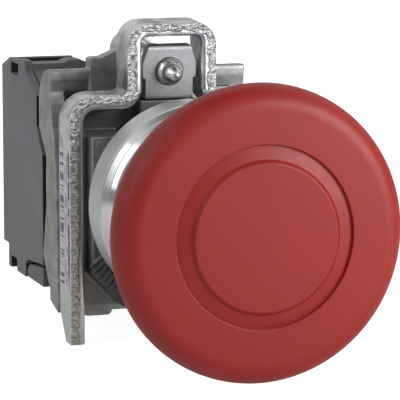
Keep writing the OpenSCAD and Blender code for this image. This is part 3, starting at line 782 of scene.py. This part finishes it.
def collar():
    half, front = COLLAR_HIGH.x, PANEL_GAP
    plate_half, plate_top, plate_low = 12.5, 8.9, -15.8
    neck_low, neck_top, neck_half = -16, 12.3, 12.9
    flange_front, flange_back, flange_half = 12.3, 15.2, 14.2
    saddle_half, saddle_top = 4.3, 13.5
    cheek_front, cheek_back, cheek_top = 18, 20.7, 20.2
    plate = [
        (-8, plate_low, 0.4), (8, plate_low, 0.4), (plate_half, -11, 0.4), (plate_half, plate_top, 0.3),
        (-plate_half, plate_top, 0.3), (-plate_half, -11, 0.4)
    ]
    side = [
        (14.65, -18.2), (14.6, -16.2), (14.9, -8.8), (15.2, 0), (16.1, 5.8), (17.7, 10), (18.6, 14),
        (18.1, 15.8), (18, 17.3, 0.5), (20.2, 17.2, 0.8), (22, 16.6, 0.8), (23.2, 15.6, 0.8),
        (24.1, 14.1, 0.8), (24.6, 12.5, 0.8), (24.7, 8.3, 0.5), (20.8, 4.4, 0.4), (21, -3.4, 0.4),
        (22.9, -10.8, 0.4), (19.1, -15.5, 0.4), (19.2, -17, 0.4)
    ]
    cavity = [(15.3, -16.2), (26, -16.2), (26, 13.2), (19.7, 13.2), (18.9, 10), (17.3, 5.8), (15.3, 3.6)]
    cheek = [
        (2, saddle_top), (2, cheek_top), (4.2, cheek_top, 0.5), (7.2, 18.9, 0.5), (8.9, 18.9, 0.4),
        (8.9, saddle_top)
    ]
    foot = [(7.5, -17.9), (8.0, -18.4), (11.5, -18.4), (11.5, -15), (7.5, -15)]
    obj = new_object("collar_casting", prism(rounded(plate), front, 8.1, "Y"))
    frame_shape = new_object("tool", prism(rounded(side), -half, half, "X"))
    notches = [block((9.5, 16, 9.4), (12.7, 20, 14)), block((-12.7, 16, 9.4), (-9.5, 20, 14))]
    combine(frame_shape, "DIFFERENCE", prism(cavity, -12, 12, "X"), *notches)
    mesh_shape = bmesh.new()
    mesh_shape.from_mesh(frame_shape.data)
    bmesh.ops.scale(mesh_shape, vec=(1 / MM, 1 / MM, 1 / MM), verts=mesh_shape.verts)
    bpy.data.objects.remove(frame_shape)
    # neck, flange, rear frame, saddle under the nut plate, two cheeks, the fork between them that takes
    # the clamp screw's washer, and two feet
    parts = [
        block((-neck_half, 8, neck_low), (neck_half, flange_front + 0.1, plate_top)),
        block((-flange_half, flange_front, neck_low), (flange_half, flange_back, neck_top)),
        mesh_shape,
        block((-saddle_half, 8.2, neck_top - 1), (saddle_half, 18.5, saddle_top)),
        prism(rounded(cheek), cheek_front, cheek_back, "Y"),
        prism(rounded(mirrored(cheek)), cheek_front, cheek_back, "Y"),
        block((-3.3, cheek_front, saddle_top), (3.3, WASHER_LOW.y + 0.02, cheek_top)),
        prism(foot, 12, flange_back, "Y"),
        prism(mirrored(foot), 12, flange_back, "Y"),
    ]
    combine(obj, "UNION", *parts)
    # bore for the barrel, room for the circlip, the screw's slot with its open top, the washer's seat
    bore, clip_room, slot, seat = 11.15, 6.0, 2.3, 4.3
    holes = [
        rod(bore, front - 1, flange_back + 0.1, steps=96),
        rod(clip_room, flange_back - 1, 18.9, steps=64),
        tilted(rod(slot, 14, 27, 0, SCREW_Z)),
        tilted(block((-slot, 14, SCREW_Z), (slot, 27, SCREW_Z + 5))),
        tilted(rod(seat, SCREW_Y - 0.45, SCREW_Y + 1.4, 0, SCREW_Z, steps=64)),
    ]
    combine(obj, "DIFFERENCE", *holes)
    # the bar that the latches' hooks catch, the lugs in the barrel's groove, the ribs that grip the panel
    catch = block((-12.5, 19.6, -13.1), (12.5, 20.9, -11.2))
    lugs = [block((-11.5, 8.25, -2), (-10.45, 9.75, 2)), block((10.45, 8.25, -2), (11.5, 9.75, 2))]
    angles = [37 + 3.3 * i for i in range(7)]
    rib = (11.7, front - 0.38, -0.19), (16.2, front + 0.2, 0.19)
    ribs = [turned(block(*rib), angle) for angle in [180 - a for a in angles] + angles]
    combine(obj, "UNION", catch, *lugs, *ribs)
    cast(obj)
    finish_piece(obj, "fixed_unit", [ZINC], ["collar_body"], angle=60)


def yoke():
    x, leg = YOKE_HIGH.x, YOKE_LOW.z
    low, high = YOKE_LOW.y, YOKE_HIGH.y
    slope = math.tan(SCREW_TILT)
    top = YOKE_HIGH.z - slope * (high - low)
    thick, loop_thick, split = 2.25, 1.85, 17.5
    shoulder, loop = YOKE_SHOULDER, YOKE_LOOP
    bend, loop_bend, corner = YOKE_BEND, YOKE_LOOP_BEND, YOKE_CORNER
    outside = [
        (x, leg),
        *arc(x - bend, shoulder - bend, bend, 0, 90, 12),
        *arc(loop + corner, shoulder + corner, corner, 270, 180, 6),
        (loop, split),
        *arc(loop - loop_bend, top - loop_bend, loop_bend, 0, 90, 12),
    ]
    inside = [
        *arc(loop - loop_bend, top - loop_thick - loop_bend + thick, loop_bend - thick, 90, 0, 6),
        (loop - thick, split),
        *arc(loop + corner, shoulder + corner, corner + thick, 180, 270, 10),
        *arc(x - bend, shoulder - bend, bend - thick, 90, 0, 8),
        (x - thick, leg),
    ]
    outline = outside + mirrored(outside) + mirrored(inside) + inside
    shape = prism(outline, low, high, "Y")
    # the loop rises towards the rear with the screw
    for vert in shape.verts:
        if vert.co.z > split + 0.1:
            vert.co.z += slope * (vert.co.y - low)
    # the punch drew the inner edge over, so it is rounder than the outer one
    shape.verts.ensure_lookup_table()
    inner = set(shape.verts[2 * len(outside):len(outline)])
    edges = [e for e in shape.edges if set(e.verts) <= inner]
    bmesh.ops.bevel(
        shape, geom=edges, offset=0.65, segments=4, profile=0.5, affect="EDGES", clamp_overlap=False
    )
    obj = new_object("yoke_strip", shape)
    wedge = [(8.8, leg - 0.01), (13, leg - 1), (13, -17.2), (12, -17.2)]
    combine(obj, "DIFFERENCE", prism(wedge, -x - 1, x + 1, "X"))
    bevel(obj, 0.22, 4, 40)
    finish_piece(obj, "fixed_unit", [STRIP], ["clamp_yoke"], angle=40)


def label():
    (x0, y0, z0), (x1, y1, z1) = LABEL_LOW, LABEL_HIGH
    outline = rounded([(y0, z0), (y1, z0), (y1, z1), (y0, z1)], 0.35)
    obj = new_object("side_label", prism(outline, x0, x1, "X"))
    bevel(obj, 0.03, 2)
    finish_piece(obj, "fixed_unit", [PAPER], ["rating_label"])


def clamp_nut():
    front = SCREW_Y - 17.4
    low, high = SCREW_Z - 4.05, SCREW_Z + 3.9
    # its plate, and the tongue under the screw
    thick, tongue, tongue_long = 1.6, 0.8, 10
    sheet = [
        (front, low, 0.5), (front + tongue_long, low), (front + tongue_long, low + tongue),
        (front + thick, low + tongue, 0.4), (front + thick, high, 0.3), (front, high, 1.2)
    ]
    half = [
        (3.6, low, 0.25), (3.6, low + 3, 0.15), (4.05, low + 3.15, 0.2), (4.1, high - 2.7, 0.4),
        (3.15, high, 0.6)
    ]
    obj = new_object("nut_plate", prism(rounded(sheet, steps=6), -5, 5, "X"))
    outline = rounded(half + mirrored(half))
    combine(obj, "INTERSECT", prism(outline, front - 1, front + 11, "Y"))
    combine(obj, "DIFFERENCE", rod(2.05, front - 1, front + 3, 0, SCREW_Z))
    bevel(obj, 0.12, 3)
    tilt_mesh(obj)
    finish_piece(obj, "fixed_unit", [PLATED], ["clamp_nut"])


def cross_recess(radius, low, high, x, z):
    """Two crossed slots about the line through x and z, for the tip of a screwdriver."""
    width = 0.45
    tools = []
    for angle in (0, 90):
        slot = turned(block((-radius, low, -width), (radius, high, width)), angle)
        bmesh.ops.translate(slot, vec=(x, 0, z), verts=slot.verts)
        tools.append(slot)
    return tools


def clamp_screw():
    tip, seat, back = SCREW_Y - 21.1, SCREW_Y + 0.41, SCREW_Y + 3.1
    head, edge, core, point = SCREW_HIGH.x, 0.8, 2.0, 1.45
    pitch = 0.7
    # the dog point's length, and the profile's places in each turn of the thread
    dog, places = 3.4, 10
    count = int((seat - tip - dog) * places / pitch)
    shank = [(core, tip + dog + i * pitch / places) for i in range(count)]
    dome = [(0.3, tip + 0.06), (0.6, tip + 0.3), (1.0, tip + 0.8), (1.3, tip + 1.3), (1.42, tip + 1.6)]
    rim = arc(head - edge, back - edge, edge, 15, 90, 5)
    profile = [
        (0, tip), *dome, (point, tip + 2.8), (point + 0.3, tip + 3.1), *shank, (core, seat), (head, seat),
        (head, back - edge), *rim, (0, back)
    ]
    shape = lathe(profile, 0, SCREW_Z, 72, wobble=thread(pitch, 0.32, tip + 3.3, seat - 3))
    obj = new_object("clamping_screw", shape)
    combine(obj, "DIFFERENCE", *cross_recess(2.2, back - 1.5, back + 1, 0, SCREW_Z))
    tilt_mesh(obj)
    finish_piece(obj, "clamping_screw", [STEEL], ["clamp_screw"])


def clamp_washer():
    low, high, r = SCREW_Y - 0.4, SCREW_Y + 0.4, WASHER_HIGH.x
    profile = rounded([(2.05, low), (r, low, 0.15), (r, high, 0.25), (2.05, high)])
    obj = new_object("washer", lathe(profile, 0, SCREW_Z, 96))
    tilt_mesh(obj)
    finish_piece(obj, "fixed_unit", [STEEL], ["clamp_washer"])


# ---- Contact blocks ----

HOUSING_OUTLINE = [
    (23.1, -12.6, 0.3), (23.1, 4.1, 0.4), (26.4, 8.1, 0.4), (26.3, 12.7, 0.4), (32.8, 15.7, 0.3),
    (33.3, 17.2, 0.4), (37, 17.2, 0.25), (37, 14.5, 0.2), (41.7, 14.5, 0.2), (41.7, 16.9, 0.25),
    (42.6, 16.9, 0.3), (47.3, 15.4, 0.5), (47.3, -12.5, 0.3), (44.2, -12.5, 0.2), (44.2, -16.1, 0.3),
    (42.6, -16.1, 0.2), (42.6, -14.2, 0.2), (39, -14.2, 0.2), (39, -16.1, 0.2), (33.6, -16.1, 0.3),
    (33.6, -13.9, 0.3), (32.4, -13.2, 0.5), (28, -12.9, 0.8), (24.8, -12.6, 0.5)
]
HOUSING_CAVITY = [
    (24.5, -11.4), (24.5, 3.6), (27.8, 7.6), (27.8, 12), (33.2, 14.5), (34.2, 15.3), (35.7, 15.3),
    (35.7, 13.2), (42.5, 13.2), (42.5, 14.8), (45.9, 14.8), (45.9, -11.4), (43, -11.4), (43, -12.9),
    (37.7, -12.9), (37.7, -14.8), (34.9, -14.8), (34.9, -12.6), (33, -11.6)
]
# the terminal screws' heights, and how far back the wires go in at the top and at the bottom
TERMINAL_Z = (11.4, -8.4)
WIRE_Y = (39.9, 40.4)
LATCH_OUTLINE = [
    (17.4, -14.6), (17.4, -12.8, 0.2), (18.4, -12.3, 0.2), (19.3, -12.3, 0.2), (19.3, -13.3, 0.2),
    (21.2, -13.3, 0.2), (21.2, -11.3, 0.3), (22.9, -11.3, 0.4), (22.9, -13.1, 0.3), (25, -13.1, 1),
    (28, -13.4, 1), (31.2, -13.7, 0.5), (32.4, -14.3, 0.5), (33, -15.1, 0.4), (32.4, -15.9, 0.4),
    (19.9, -15.9, 0.6), (19.9, -14.6, 0.3)
]
# the latch's hinge, and half the width of the lug that holds its pin
HINGE = (31.2, -14.9)
HINGE_R = 0.7
LUG_HALF = 1.5


def bay_x(side, local):
    """The X of a place in a block, counted from the block's middle, negative towards its outer wall."""
    return side * (BLOCK_PITCH - local)


def bay_span(side, low, high):
    return sorted((bay_x(side, low), bay_x(side, high)))


def bay_prism(side, outline, low, high):
    return prism(outline, *bay_span(side, low, high), "X")


def block_housing(side, prefix):
    half, wall = BLOCK_HALF, 1.2
    shape = bay_prism(side, rounded(HOUSING_OUTLINE), -half, half - wall)
    obj = new_object(prefix + "_housing_moulding", shape)
    bevel(obj, 0.16, 3, 40)
    combine(obj, "DIFFERENCE", bay_prism(side, HOUSING_CAVITY, wall - half, half + 1))
    lug = [(29.8, -15.8, 0.6), (32.6, -15.8, 0.6), (32.6, -12.4), (29.8, -12.4)]
    combine(obj, "UNION", bay_prism(side, rounded(lug), -LUG_HALF, LUG_HALF))
    hinge_ends = bay_span(side, -3, 3)
    # the outer wall goes on over the slot at the top
    roof = bay_span(side, -5, -3.8)
    combine(obj, "UNION", block((roof[0], 36.9, 16.35), (roof[1], 41.8, 16.9)))
    # a seam along the sloping top, and the holes for the latch's pin and the plunger's stem
    seam = [(26, 12.2), (33, 15.3), (32.6, 16.2), (25.6, 13.1)]
    tools = [
        *lowered_top(side),
        bay_prism(side, seam, -3.8, -3.62),
        rod(HINGE_R + 0.05, *hinge_ends, *HINGE, "X"),
        rod(2.0, 22, 25, bay_x(side, 0), 0),
    ]
    # holes for the screwdriver at the rear, and for two wires at the top and two at the bottom
    driver, wire = 3.0, 1.1
    for z in TERMINAL_Z:
        tools.append(rod(driver, 45, 49, bay_x(side, 0), z))
    for x in (-2.4, 2.4):
        tools.append(rod(wire, 13, 15, bay_x(side, x), WIRE_Y[0], "Z"))
        tools.append(rod(wire, -14.5, -12.5, bay_x(side, x), WIRE_Y[1], "Z"))
    combine(obj, "DIFFERENCE", *tools)
    finish_piece(obj, "fixed_unit", [BLOCK], [prefix + "_housing"], angle=30)


def lowered_top(side):
    """What is taken off a block's top between its outer wall and its inner face, but for a ridge."""
    low, high = 16.7, 17.3
    outer = [(-3.8, low), (1.2, low), (2.5, high), (2.5, 19), (-3.8, 19)]
    inner = [(3.6, 19), (3.6, high), (4.8, low), (6, low), (6, 19)]
    return [prism([(bay_x(side, a), b) for a, b in part], 30, 41.7, "Y") for part in (outer, inner)]


def block_cover(side, prefix):
    half = BLOCK_HALF
    shape = bay_prism(side, rounded(HOUSING_OUTLINE), half - 1.15, half)
    obj = new_object(prefix + "_cover_moulding", shape)
    bevel(obj, 0.16, 3, 40)
    combine(obj, "DIFFERENCE", *lowered_top(side))
    finish_piece(obj, "fixed_unit", [BLOCK], [prefix + "_cover"], angle=30)


def block_latch(side, prefix, body):
    half = BLOCK_HALF - 0.1
    obj = new_object(prefix + "_latch_arm", bay_prism(side, rounded(LATCH_OUTLINE), -half, half))
    tools = []
    # on both sides of the hook, and round the housing's lug
    cuts = ((-half - 1, -1.75, 10, 23.4), (2.8, half + 1, 10, 19.7), (-1.7, 1.7, 29.2, 34))
    for low, high, front, back in cuts:
        a, b = bay_span(side, low, high)
        tools.append(block((a, front, -20), (b, back, -10)))
    combine(obj, "DIFFERENCE", *tools)
    bevel(obj, 0.12, 2, 40)
    pin_ends = bay_span(side, -LUG_HALF - 0.4, LUG_HALF + 0.4)
    combine(obj, "UNION", rod(HINGE_R, *pin_ends, *HINGE, "X"))
    finish_piece(obj, body, [LATCH], [prefix + "_latch"], angle=35)


def terminal_screw(side, prefix, which, body):
    node = f"{prefix}_screw_{which}"
    low, high = box_mm(node)
    x, z = (low.x + high.x) / 2, (low.z + high.z) / 2
    head, back, tip, seat, pitch = high.x - x, high.y, low.y, 43.3, 0.5
    shank = [(1.5, tip + 0.4 + i * pitch / 8) for i in range(int((seat - tip - 0.4) * 8 / pitch))]
    profile = [
        (0, tip), (1.1, tip), *shank, (1.5, seat), (head, seat), (head, back - 0.4), (head - 0.4, back),
        (0, back)
    ]
    shape = lathe(profile, x, z, 48, wobble=thread(pitch, 0.22, tip + 0.3, seat - 0.5))
    obj = new_object(f"{prefix}_terminal_screw_{which}", shape)
    combine(obj, "DIFFERENCE", *cross_recess(1.9, back - 1.2, back + 1, x, z))
    finish_piece(obj, body, [STEEL], [node])


def shorten(obj):
    """Gives the coil its own copy of its mesh."""
    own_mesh(obj)


def block_springs(side, prefix, kind):
    low, high = box_mm(prefix + "_return_spring")
    x = bay_x(side, 0)
    obj = new_object(prefix + "_return_coil", coil(high.x - x, 0.2, low.y, high.y, 7, x))
    finish_piece(obj, "fixed_unit", [WIRE], [prefix + "_return_spring"], angle=80)
    shorten(obj)
    low, high = box_mm(prefix + "_bridge_spring")
    obj = new_object(prefix + "_bridge_coil", coil(high.x - x, 0.16, low.y, high.y, 4, x))
    finish_piece(obj, kind + "_bridge", [WIRE], [prefix + "_bridge_spring"], angle=80)
    if kind == "make":
        shorten(obj)


def contact_block(side, prefix, kind, signal):
    block_housing(side, prefix)
    block_cover(side, prefix)
    block_latch(side, prefix, kind + "_latch")
    for which in ("upper", "lower"):
        terminal_screw(side, prefix, which, f"{kind}_screw_{which}")
        dress(f"{prefix}_terminal_{which}", BRASS)
    block_springs(side, prefix, kind)
    dress(prefix + "_bridge", BRASS)
    dress(prefix + "_clamp_plates", PLATED)
    dress(prefix + "_plunger", signal)


# ---- Stage ----


def stage():
    floor = bmesh.new()
    size = 1500
    z = CAD_BOX[0].z * 1000
    corners = [(-size, -size, z), (size, -size, z), (size, size, z), (-size, size, z)]
    floor.faces.new([floor.verts.new(c) for c in corners])
    obj = new_object("floor", floor)
    s = Surface("floor_paint", (0.7, 0.7, 0.7), 0.7, Specular_IOR_Level=0.1)
    s.color(s.mix(s.noise(0.01, detail=2), (0.69, 0.69, 0.69), (0.71, 0.71, 0.71)))
    # white where it is seen, without lighting the object more than a pale floor does
    seen = s.add("ShaderNodeLightPath").outputs["Is Camera Ray"]
    s.shader.inputs["Emission Color"].default_value = (1, 1, 1, 1)
    strength = s.math("ADD", s.math("MULTIPLY", seen, 0.77), 0.08)
    s.tree.links.new(strength, s.shader.inputs["Emission Strength"])
    obj.data.materials.append(s.material)


def softbox(name, place, target, size, power):
    light = bpy.data.lights.new(name, "AREA")
    light.shape = "RECTANGLE"
    light.size, light.size_y = size[0] * MM, size[1] * MM
    light.energy = power
    obj = bpy.data.objects.new(name, light)
    obj.location = Vector(place) * MM
    obj.rotation_euler = (Vector(target) - Vector(place)).to_track_quat("-Z", "Y").to_euler()
    bpy.context.scene.collection.objects.link(obj)


def world_light():
    """Dim in front, brighter behind and half-way up, dark at the top; white where the camera sees it."""
    world = bpy.data.worlds.new("studio")
    bpy.context.scene.world = world
    world.use_nodes = True

    def step(kind, inputs=(), **settings):
        return add_node(world.node_tree, kind, inputs, **settings).outputs

    direction = step("ShaderNodeTexCoord")["Generated"]
    axes = step("ShaderNodeSeparateXYZ", {"Vector": direction})
    # from straight in front to straight behind
    turn = {"Value": axes["Y"], "From Min": -1.0, "To Min": 0.145, "To Max": 0.39}
    behind = step("ShaderNodeMapRange", turn)[0]
    height = step("ShaderNodeMath", {0: axes["Z"], 1: 0.0}, operation="MAXIMUM")[0]
    square = step("ShaderNodeMath", {0: height, 1: 2.0}, operation="POWER")[0]
    ring = step("ShaderNodeMath", {0: square, 1: -1.0, 2: 1.0}, operation="MULTIPLY_ADD")[0]
    rising = step("ShaderNodeMath", {0: square, 1: 2.4, 2: behind}, operation="MULTIPLY_ADD")[0]
    both = step("ShaderNodeMath", {0: rising, 1: ring}, operation="MULTIPLY")[0]
    seen = step("ShaderNodeLightPath")["Is Camera Ray"]
    strength = step("ShaderNodeMix", {0: seen, 2: both, 3: 1.0})[0]
    background = world.node_tree.nodes["Background"]
    world.node_tree.links.new(strength, background.inputs["Strength"])
    background.inputs["Color"].default_value = (1, 1, 1, 1)


def lights():
    softbox("key", (82, -125, 42), (0, -30, 5), (80, 80), 0.15)
    softbox("fill", (-300, -45, 170), (0, 0, 0), (200, 240), 0.165)
    world_light()


def camera():
    """The camera that fits the photo: its place in the row frame, its focal length and where it looks."""
    data = bpy.data.cameras.new("camera")
    data.sensor_width = 36
    data.lens = 238.1
    data.clip_start, data.clip_end = 0.01, 20
    obj = bpy.data.objects.new("camera", data)
    bpy.context.scene.collection.objects.link(obj)
    forward = Vector((0.30757, 0.93932, -0.15188)).normalized()
    right = Vector((0.95036, -0.31117, 0.0)).normalized()
    up = right.cross(forward)
    turn = Matrix((right, up, -forward)).transposed()
    place = Vector((-113.85, -354.24, 57.20)) * MM
    obj.matrix_world = Matrix.Translation(place) @ turn.to_4x4()
    bpy.context.scene.camera = obj


mushroom_cap()
cap_pin()
plunger()
plunger_circlip()
actuator_plate()
bezel()
bezel_gasket()
lip_seal()
seal_retainer()
dress("detent_housing", IVORY)
dress("detent_balls", BRIGHT)
dress("detent_springs", WIRE)
collar()
yoke()
label()
clamp_nut()
clamp_screw()
clamp_washer()
contact_block(-1, "nc", "break", SIGNAL_RED)
contact_block(1, "no", "make", SIGNAL_GREEN)
stage()
lights()
camera()
bpy.context.scene.view_settings.view_transform = "Standard"
